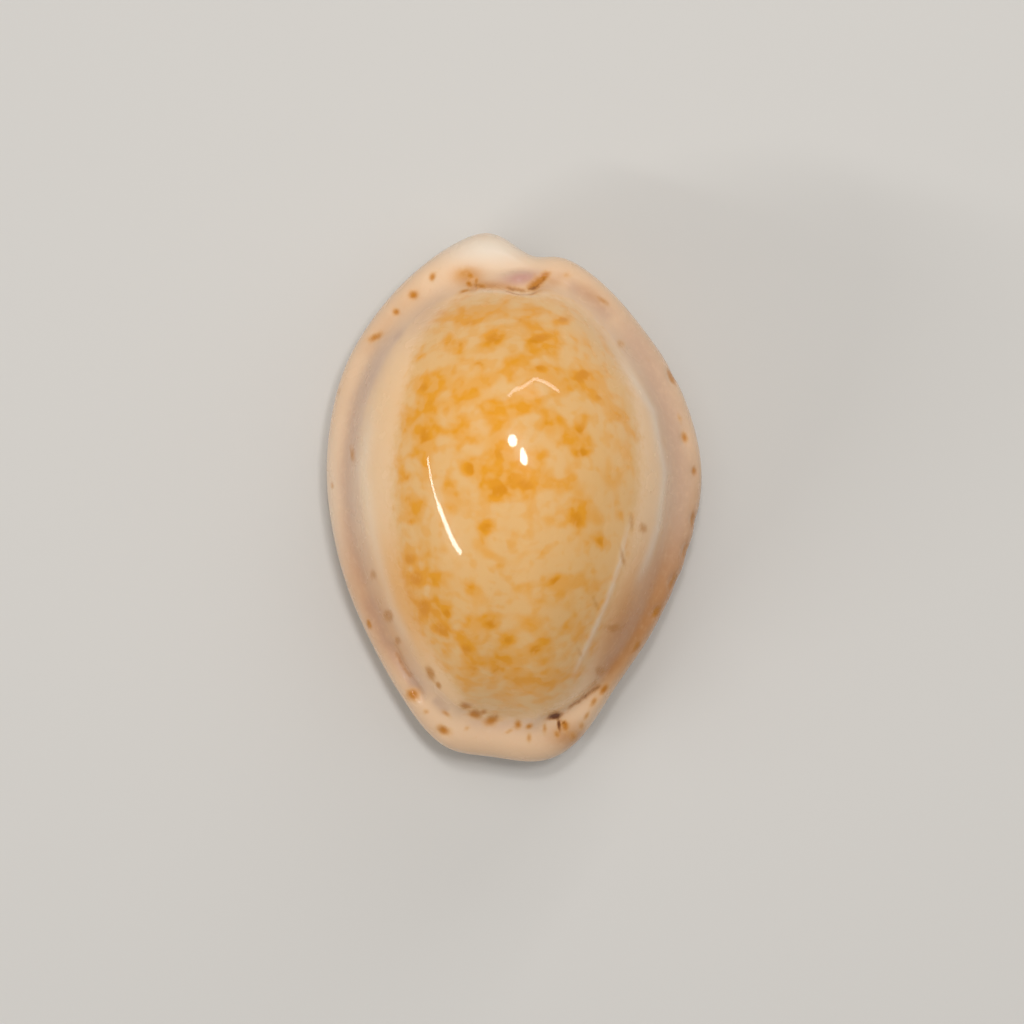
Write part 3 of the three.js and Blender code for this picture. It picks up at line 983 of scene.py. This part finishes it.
@dataclass(frozen=True)
class Enamel:
    """The shell's glossy enamel: cream and amber back, pale bands, lilac-grey margin, brown spots, painted
    shade.
    """

    cream: Rgb = linear(225, 179, 118)
    amber: Rgb = linear(226, 154, 42)
    deep_amber: Stain = Stain(0.45, 1.0, 0.85, linear(214, 137, 22))
    band: Rgb = linear(238, 200, 156)
    margin: Rgb = linear(228, 193, 158)
    callus: Rgb = linear(230, 220, 205)
    rose: Rgb = linear(196, 138, 130)
    ochre: Rgb = linear(188, 116, 20)
    base: Rgb = linear(232, 208, 180)
    # Painted shade on the margin: lilac-grey in its grooves, over the margin's own lilac tint, and brown on
    # the steep flanks and in the creases; both laid on unevenly as the fine noise rises.
    lilac: Stain = Stain(-0.3, 0.6, 0.85, linear(192, 157, 136))
    tan: Stain = Stain(-0.3, 0.55, 0.9, linear(190, 124, 60))
    # Spots and streaks, from the outside of each to its middle.
    ochre_spot: tuple[Stain, ...] = (
        Stain(0.02, 0.55, 0.5, linear(216, 160, 92)),
        Stain(0.25, 1.05, 0.9, ochre),
    )
    olive_spot: tuple[Stain, ...] = (Stain(0.1, 0.8, 0.82, linear(188, 119, 6)),)
    # These dark brown stains also paint shade in the creases and grooves.
    umber_and_crease_shade_stains: tuple[Stain, ...] = (
        Stain(0.1, 0.6, 0.55, ochre),
        Stain(0.35, 1.0, 0.9, linear(92, 38, 14)),
    )
    clouds: Blots = Blots(0.85, 0.37, 0.66, 0.62)
    flecks: Blots = Blots(1.8, 0.4, 0.7, 0.4)
    # Blots gather by this much in the amber wash, and again in a placed blotch, from a thin start.
    gather: float = 0.19
    thinness: float = -0.115
    # How far the amber wash deepens a blot, against a placed blotch.
    wash_depth: float = 0.7
    # How strongly the amber wash and the white callus cover what is under them.
    wash_cover: float = 0.6
    callus_cover: float = 0.75
    band_border: Border = Border(0.3, 0.3, 0.75)
    back_border: Border = Border(0.7, 0.12, 0.95)
    # How ragged the fine noise makes every edge, and how much of that spots and streaks take.
    ragged: float = 0.9
    spot_ragged: float = 0.5
    streak_ragged: float = 0.8
    roughness: float = 0.26
    roughness_spread: float = 0.16
    coat_roughness: float = 0.035
    # The coat is whole where the back's field has risen to this, and thin on the margin.
    coat_whole: float = 0.7
    margin_coat: float = 0.25
    scatter: float = 0.08

    def speckle(
        self,
        sheet: NodeSheet,
        group: bpy.types.NodeTree,
        place: bpy.types.NodeSocket,
        lean: bpy.types.NodeSocket,
        blots: Blots,
    ) -> bpy.types.NodeSocket:
        """The mask of one size of mottling.

        Args:
            sheet: The material's nodes.
            group: The Speckle node group.
            place: The place on the shell, in millimetres.
            lean: How strongly blots gather there.
            blots: The size of mottling.

        Returns:
            A socket from 0 between blots to 1 inside them.
        """
        values = {"Place": place, "Scale": blots.scale, "Gather": lean, "Low": blots.low, "High": blots.high}
        return sheet.add("ShaderNodeGroup", values, node_tree=group).outputs["Mask"]

    def painted(self, sheet: NodeSheet, name: str) -> tuple[bpy.types.NodeSocket, ...]:
        """The four parts of a field that is stored on the mesh.

        Args:
            sheet: The material's nodes.
            name: The field's name.

        Returns:
            One socket for each part.
        """
        stored = sheet.add("ShaderNodeAttribute", attribute_name=name)
        parts = sheet.add("ShaderNodeSeparateColor", {0: stored.outputs["Color"]}).outputs
        return parts[0], parts[1], parts[2], stored.outputs["Alpha"]

    def colour(self, sheet: NodeSheet, place: bpy.types.NodeSocket) -> bpy.types.NodeSocket:
        """The enamel's colour at a place.

        Args:
            sheet: The material's nodes.
            place: The place on the shell, in millimetres.

        Returns:
            The colour socket.
        """
        group = speckle_group()
        back, band, shade, under = self.painted(sheet, "zones")
        blotch, ochre, umber_and_crease_shade, olive = self.painted(sheet, "marks")
        callus, amber, tan, rose = self.painted(sheet, "veils")
        fine = sheet.add(
            "ShaderNodeTexNoise", {"Vector": place, "Scale": 2.6, "Detail": 2.0, "Roughness": 0.55}
        ).outputs[0]
        ragged = sheet.sum("MULTIPLY", sheet.sum("SUBTRACT", fine, 0.5), self.ragged)

        # The mottled back: soft clouds gathered in the amber wash and round the placed blotches.
        lean = sheet.sum("MULTIPLY_ADD", blotch, self.gather, self.thinness)
        lean = sheet.sum("MULTIPLY_ADD", amber, self.gather, lean)
        clouds = self.speckle(sheet, group, place, lean, self.clouds)
        flecks = self.speckle(sheet, group, place, lean, self.flecks)
        amount = sheet.sum("MULTIPLY", clouds, self.clouds.share)
        amount = sheet.sum("MULTIPLY_ADD", flecks, self.flecks.share, amount)
        mottle = sheet.blend(amount, self.cream, self.amber)
        wash = sheet.sum("MULTIPLY", amber, self.wash_depth)
        depth = sheet.sum("MULTIPLY", amount, sheet.sum("MAXIMUM", blotch, wash))
        mottle = self.stained(sheet, mottle, depth, self.deep_amber)

        # Bands: margin, then the dome's plain edge, then the mottled back, with ragged borders.
        edges = []
        for zone, border in ((band, self.band_border), (back, self.back_border)):
            torn = sheet.sum("MULTIPLY_ADD", ragged, border.ragged, zone)
            edges.append(sheet.ease(torn, border.low, border.high))
        colour = sheet.blend(edges[0], self.margin, self.band)
        colour = sheet.blend(sheet.sum("MULTIPLY", amber, self.wash_cover), colour, self.amber)
        colour = sheet.blend(edges[1], colour, mottle)
        # Painted shade: lilac-grey on the margins, brown on the flanks and in the creases.
        for veil, stain in ((shade, self.lilac), (tan, self.tan)):
            uneven = sheet.ease(fine, stain.low, stain.high, stain.strength)
            colour = sheet.blend(sheet.sum("MULTIPLY", veil, uneven), colour, stain.colour)
        colour = sheet.blend(sheet.sum("MULTIPLY", callus, self.callus_cover), colour, self.callus)
        colour = sheet.blend(rose, colour, self.rose)

        # Spots and streaks with ragged edges; ochre and dark brown marks have a paler rim round a darker
        # core, and the dark brown streaks in the creases and grooves are painted shade.
        for mark, torn_by, stains in (
            (ochre, self.spot_ragged, self.ochre_spot),
            (olive, self.spot_ragged, self.olive_spot),
            (umber_and_crease_shade, self.streak_ragged, self.umber_and_crease_shade_stains),
        ):
            torn = sheet.sum("MULTIPLY_ADD", ragged, torn_by, mark)
            for stain in stains:
                colour = self.stained(sheet, colour, torn, stain)
        return sheet.blend(under, colour, self.base)

    def stained(
        self, sheet: NodeSheet, colour: bpy.types.NodeSocket, amount: bpy.types.NodeSocket, stain: Stain
    ) -> bpy.types.NodeSocket:
        """A colour with a stain laid over it.

        Args:
            sheet: The material's nodes.
            colour: What is under the stain.
            amount: The field that the stain follows.
            stain: The stain.

        Returns:
            The colour socket.
        """
        strength = sheet.ease(amount, stain.low, stain.high, stain.strength)
        return sheet.blend(strength, colour, stain.colour)

    def material(self) -> bpy.types.Material:
        """The finished material.

        Returns:
            A glossy coat over the enamel's colour, patterned by place and by the stored fields.
        """
        made = bpy.data.materials.new("Enamel")
        made.use_nodes = True
        sheet = NodeSheet(made.node_tree)
        position = sheet.add("ShaderNodeTexCoord").outputs["Object"]
        place = sheet.add("ShaderNodeMapping", {"Vector": position, "Scale": (1.0 / MM,) * 3}).outputs[0]
        dulling = sheet.add("ShaderNodeTexNoise", {"Vector": place, "Scale": 0.6, "Detail": 3.0}).outputs[0]
        smoothest = self.roughness - self.roughness_spread / 2
        roughness = sheet.sum("MULTIPLY_ADD", dulling, self.roughness_spread, smoothest)
        back = self.painted(sheet, "zones")[0]
        polish = sheet.ease(back, 0.0, self.coat_whole, 1.0 - self.margin_coat)
        coat = sheet.sum("ADD", polish, self.margin_coat)
        ripple = sheet.add("ShaderNodeTexNoise", {"Vector": place, "Scale": 1.1, "Detail": 2.0}).outputs[0]
        bump = sheet.add("ShaderNodeBump", {"Height": ripple, "Strength": 0.02, "Distance": 0.0002})
        shader = sheet.add(
            "ShaderNodeBsdfPrincipled",
            {
                "Base Color": self.colour(sheet, place),
                "Roughness": roughness,
                "IOR": 1.5,
                "Specular IOR Level": 0.1,
                "Normal": bump.outputs[0],
                "Subsurface Weight": self.scatter,
                "Subsurface Radius": (1.0, 0.6, 0.35),
                "Subsurface Scale": 0.001,
                "Coat Weight": coat,
                "Coat IOR": 1.3,
                "Coat Roughness": self.coat_roughness,
            },
        )
        sheet.add("ShaderNodeOutputMaterial", {"Surface": shader.outputs[0]})
        return made


# ------------------------------------------------------------------------------------------ the shell


@dataclass(frozen=True)
class Island:
    """One piece of the flat map: the rows of the grid that it holds, and its corner and width."""

    first: float
    end: float
    left: float
    low: float
    width: float


@dataclass
class Shell:
    """The cowrie: its form, relief, markings and finish, made into one closed piece."""

    form: ShellForm = field(default_factory=ShellForm)
    relief: Relief = field(default_factory=Relief)
    markings: Markings = field(default_factory=Markings)
    finish: Enamel = field(default_factory=Enamel)
    # The map's pieces part under the rim, at row 11, and at the lip of the aperture, at row 18.
    outside: Island = Island(0.0, 11.0, 0.005, 0.005, 0.745)
    base: Island = Island(11.0, 18.0, 0.765, 0.62, 0.225)
    inside: Island = Island(18.0, math.inf, 0.765, 0.3, 0.225)

    def carved(self) -> Grid:
        """The surface with its fine relief, fitted to the plain solid's box.

        Returns:
            The surface, in millimetres.
        """
        low, high = (np.array(corner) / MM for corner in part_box("shell"))
        grid = self.form.grid(low, high)
        grid.points += grid.normals() * self.relief.heights(grid)[..., None]
        for pole in (0, -1):
            grid.points[pole] = grid.points[pole].mean(axis=0)
        lowest = grid.points.min(axis=(0, 1))
        size = grid.points.max(axis=(0, 1)) - lowest
        grid.points = (grid.points - lowest) * ((high - low) / size) + low
        return grid

    def mesh(self, grid: Grid) -> bpy.types.Mesh:
        """A closed mesh of four-sided faces between rows, with a fan of triangles at each pole.

        Args:
            grid: The carved surface.

        Returns:
            The mesh, in metres, with its fields of markings and its map.
        """
        rows, sectors = grid.points.shape[:2]
        ring = np.arange(sectors)
        after = (ring + 1) % sectors
        number = np.arange(1, 1 + (rows - 2) * sectors).reshape(rows - 2, sectors)
        last = (rows - 2) * sectors + 1
        quads = np.stack([number[:-1], number[:-1, after], number[1:, after], number[1:]], axis=-1)
        top = np.stack([np.zeros_like(ring), number[0, after], number[0]], axis=-1)
        bottom = np.stack([number[-1], number[-1, after], np.full_like(ring, last)], axis=-1)
        corners = np.concatenate([top.ravel(), quads.ravel(), bottom.ravel()])
        sizes = np.repeat([3, 4, 3], [sectors, (rows - 3) * sectors, sectors])
        points = np.concatenate([grid.points[0, :1], grid.points[1:-1].reshape(-1, 3), grid.points[-1, :1]])

        mesh = bpy.data.meshes.new("Shell")
        mesh.vertices.add(len(points))
        mesh.vertices.foreach_set("co", (points * MM).astype(np.float32).ravel())
        mesh.loops.add(len(corners))
        mesh.loops.foreach_set("vertex_index", corners.astype(np.int32))
        mesh.polygons.add(len(sizes))
        mesh.polygons.foreach_set("loop_start", np.concatenate([[0], np.cumsum(sizes)[:-1]]).astype(np.int32))
        mesh.polygons.foreach_set("use_smooth", np.ones(len(sizes), bool))
        mesh.update(calc_edges=True)
        self.paint(mesh, grid)
        layer = mesh.uv_layers.new(name="OFBake")
        layer.uv.foreach_set("vector", self.flat_map(grid).astype(np.float32).ravel())
        return mesh

    def paint(self, mesh: bpy.types.Mesh, grid: Grid) -> None:
        """Store the markings on the mesh, one value for each point.

        Args:
            mesh: The shell's mesh.
            grid: The surface that it was made from.
        """

        def per_point(values: np.ndarray) -> np.ndarray:
            """A field's values in the order of the mesh's points, with one for each pole."""
            inner = values[1:-1].reshape(-1, *values.shape[2:])
            return np.concatenate([values[0, :1], inner, values[-1, :1]]).astype(np.float32)

        fields = {
            "zones": self.markings.zones(grid),
            "marks": self.markings.marks(grid),
            "veils": self.markings.veils(grid),
        }
        for name, values in fields.items():
            layer = mesh.attributes.new(name, "FLOAT_COLOR", "POINT")
            layer.data.foreach_set("color", per_point(values).ravel())

    def flat_map(self, grid: Grid) -> np.ndarray:
        """A flat map of the surface in three pieces: the outside, the base, and the inside.

        The outside and the inside are spread like a disc: each point lies on its own bearing, as far
        from the pole as the walk along its sector. The base is seen straight from below.

        Args:
            grid: The carved surface.

        Returns:
            Two numbers for each corner of each face, in the order of the faces.
        """
        step = np.linalg.norm(np.diff(grid.points, axis=0), axis=-1)
        walk = np.concatenate([np.zeros((1, step.shape[1])), np.cumsum(step, axis=0)])
        bearing = np.stack([np.sin(grid.bearing), np.cos(grid.bearing)], axis=-1)
        pieces = (
            (self.outside, walk[..., None] * bearing),
            (self.base, grid.points[..., :2] * (-1, 1)),
            (self.inside, (walk[-1] - walk)[..., None] * bearing * (-1, 1)),
        )
        after = np.roll(np.arange(grid.points.shape[1]), -1)
        faces = []
        middle = (grid.rows[:-1] + grid.rows[1:]) / 2
        for island, flat in pieces:
            used = np.flatnonzero((middle >= island.first) & (middle < island.end))
            corners = np.stack([flat[:-1], flat[:-1][:, after], flat[1:][:, after], flat[1:]], axis=2)[used]
            corner_low = corners.reshape(-1, 2).min(0)
            scale = island.width / np.ptp(corners[..., 0])
            faces.append((corners - corner_low) * scale + (island.left, island.low))
        rows = np.concatenate(faces)
        top, bottom = rows[0][:, [0, 2, 3]], rows[-1][:, [0, 1, 2]]
        return np.concatenate([top.reshape(-1, 2), rows[1:-1].reshape(-1, 2), bottom.reshape(-1, 2)])

    def build(self) -> bpy.types.Object:
        """Make the shell, dress it, and stand it in for the plain solid.

        Returns:
            The shell object.
        """
        piece = bpy.data.objects.new("cowrie_shell", self.mesh(self.carved()))
        bpy.context.scene.collection.objects.link(piece)
        piece.data.materials.append(self.finish.material())
        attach(piece, "root")
        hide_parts("shell")
        log.info("%s: %d points, %d faces", piece.name, len(piece.data.vertices), len(piece.data.polygons))
        return piece


# ------------------------------------------------------------------------------------------ the studio


# The middle of the shell, which every lamp faces, in millimetres.
SHELL_MIDDLE = (0.0, 0.0, 8.0)


@dataclass(frozen=True)
class Lamp:
    """A flat lamp that faces the shell: place and size in millimetres, brightness of its face.

    Its width lies along `along`, as nearly as it can while it faces the shell.
    """

    name: str
    place: tuple[float, float, float]
    width: float
    depth: float
    brightness: float
    along: tuple[float, float, float] = (1.0, 0.0, 0.0)
    colour: Rgb = (1.0, 1.0, 1.0)
    mirrored: bool = True
    rounded: bool = False

    def build(self) -> bpy.types.Object:
        """Hang the lamp and turn it to face the middle of the shell.

        Power is pi times the face's area times its brightness.

        Returns:
            The lamp.
        """
        data = bpy.data.lights.new(self.name, "AREA")
        data.shape = "ELLIPSE" if self.rounded else "RECTANGLE"
        data.size, data.size_y = self.width * MM, self.depth * MM
        data.energy = math.pi * data.size * data.size_y * self.brightness
        data.color = self.colour
        lamp = bpy.data.objects.new(self.name, data)
        lamp.location = Vector(self.place) * MM
        back = (Vector(self.place) - Vector(SHELL_MIDDLE)).normalized()
        up = back.cross(Vector(self.along)).normalized()
        lamp.rotation_euler = Matrix((up.cross(back), up, back)).transposed().to_euler()
        lamp.visible_glossy = self.mirrored
        bpy.context.scene.collection.objects.link(lamp)
        log.info("%s: %.3f W", self.name, data.energy)
        return lamp


@dataclass
class Studio:
    """A pale floor, soft light from all round, and a camera straight above the shell."""

    floor_colour: Rgb = (0.6, 0.585, 0.56)
    floor_roughness: float = 0.9
    # How far the floor reaches each way, and its level just under the shell, in metres.
    floor_reach: float = 3.0
    floor_level: float = -0.00001
    sky: Rgb = (1.0, 0.97, 0.93)
    sky_strength: float = 0.26
    camera_place: tuple[float, float, float] = (-0.1, -0.71, EYE_HEIGHT)
    lens: float = 176.6
    film: float = 36.0
    # The nearest and farthest things that the camera shows, in metres.
    in_view: tuple[float, float] = (0.01, 10.0)
    lamps: tuple[Lamp, ...] = (
        Lamp("Overhead", (-60.0, 110.0, 330.0), 260.0, 260.0, 0.9, colour=(1.0, 0.96, 0.9), mirrored=False),
        Lamp("Fill", (190.0, 10.0, 200.0), 160.0, 200.0, 0.65, colour=(1.0, 0.96, 0.92), mirrored=False),
        Lamp("Spark_far", (2.0, 70.0, 250.0), 30.0, 34.0, 40.0, rounded=True),
        Lamp("Spark_near", (35.0, 29.0, 250.0), 28.0, 42.0, 40.0, rounded=True),
        Lamp("Strip_far", (-284.0, -19.0, 104.0), 111.0, 8.0, 22.0, (24.0, -94.0, 53.0)),
        Lamp("Strip_near", (-233.0, -111.0, 157.0), 131.0, 14.0, 33.0, (77.0, -91.0, 53.0)),
        Lamp("Arch_left", (39.0, 252.0, 165.0), 138.0, 13.0, 10.0, (102.0, 37.0, -85.0)),
        Lamp("Arch_glow", (98.0, 256.0, 179.0), 142.0, 76.0, 1.5, (102.0, -8.0, -50.0), rounded=True),
        Lamp("Arch_right", (141.0, 246.0, 108.0), 117.0, 13.0, 10.0, (103.0, -48.0, -28.0)),
    )

    def build(self) -> None:
        """Lay the floor, light the scene and set the camera."""
        self.lay_floor()
        world = bpy.data.worlds.new("Studio")
        world.use_nodes = True
        background = world.node_tree.nodes["Background"]
        background.inputs["Color"].default_value = (*self.sky, 1.0)
        background.inputs["Strength"].default_value = self.sky_strength
        bpy.context.scene.world = world
        for lamp in self.lamps:
            lamp.build()
        self.set_camera()
        bpy.context.scene.view_settings.view_transform = "Standard"

    def lay_floor(self) -> None:
        """A wide flat floor, just under the shell."""
        reach, level = self.floor_reach, self.floor_level
        corners = [(x * reach, y * reach, level) for x, y in ((-1, -1), (1, -1), (1, 1), (-1, 1))]
        mesh = bpy.data.meshes.new("Floor")
        mesh.from_pydata(corners, [], [(0, 1, 2, 3)])
        floor = bpy.data.objects.new("Floor", mesh)
        bpy.context.scene.collection.objects.link(floor)
        made = bpy.data.materials.new("Floor_paper")
        made.use_nodes = True
        shader = made.node_tree.nodes["Principled BSDF"]
        shader.inputs["Base Color"].default_value = (*self.floor_colour, 1.0)
        shader.inputs["Roughness"].default_value = self.floor_roughness
        mesh.materials.append(made)
        log.info("Floor: laid")

    def set_camera(self) -> None:
        """A long lens looking straight down, with the spire end at the top."""
        data = bpy.data.cameras.new("Camera")
        data.lens = self.lens
        data.sensor_width = self.film
        data.clip_start, data.clip_end = self.in_view
        camera = bpy.data.objects.new("Camera", data)
        camera.location = np.array(self.camera_place) * MM
        bpy.context.scene.collection.objects.link(camera)
        bpy.context.scene.camera = camera
        log.info("Camera: %.0f mm lens", self.lens)


def main() -> None:
    """Build the shell and the studio."""
    logging.basicConfig(level=logging.INFO, format="%(name)s: %(message)s")
    Shell().build()
    Studio().build()


if __name__ == "__main__":
    main()
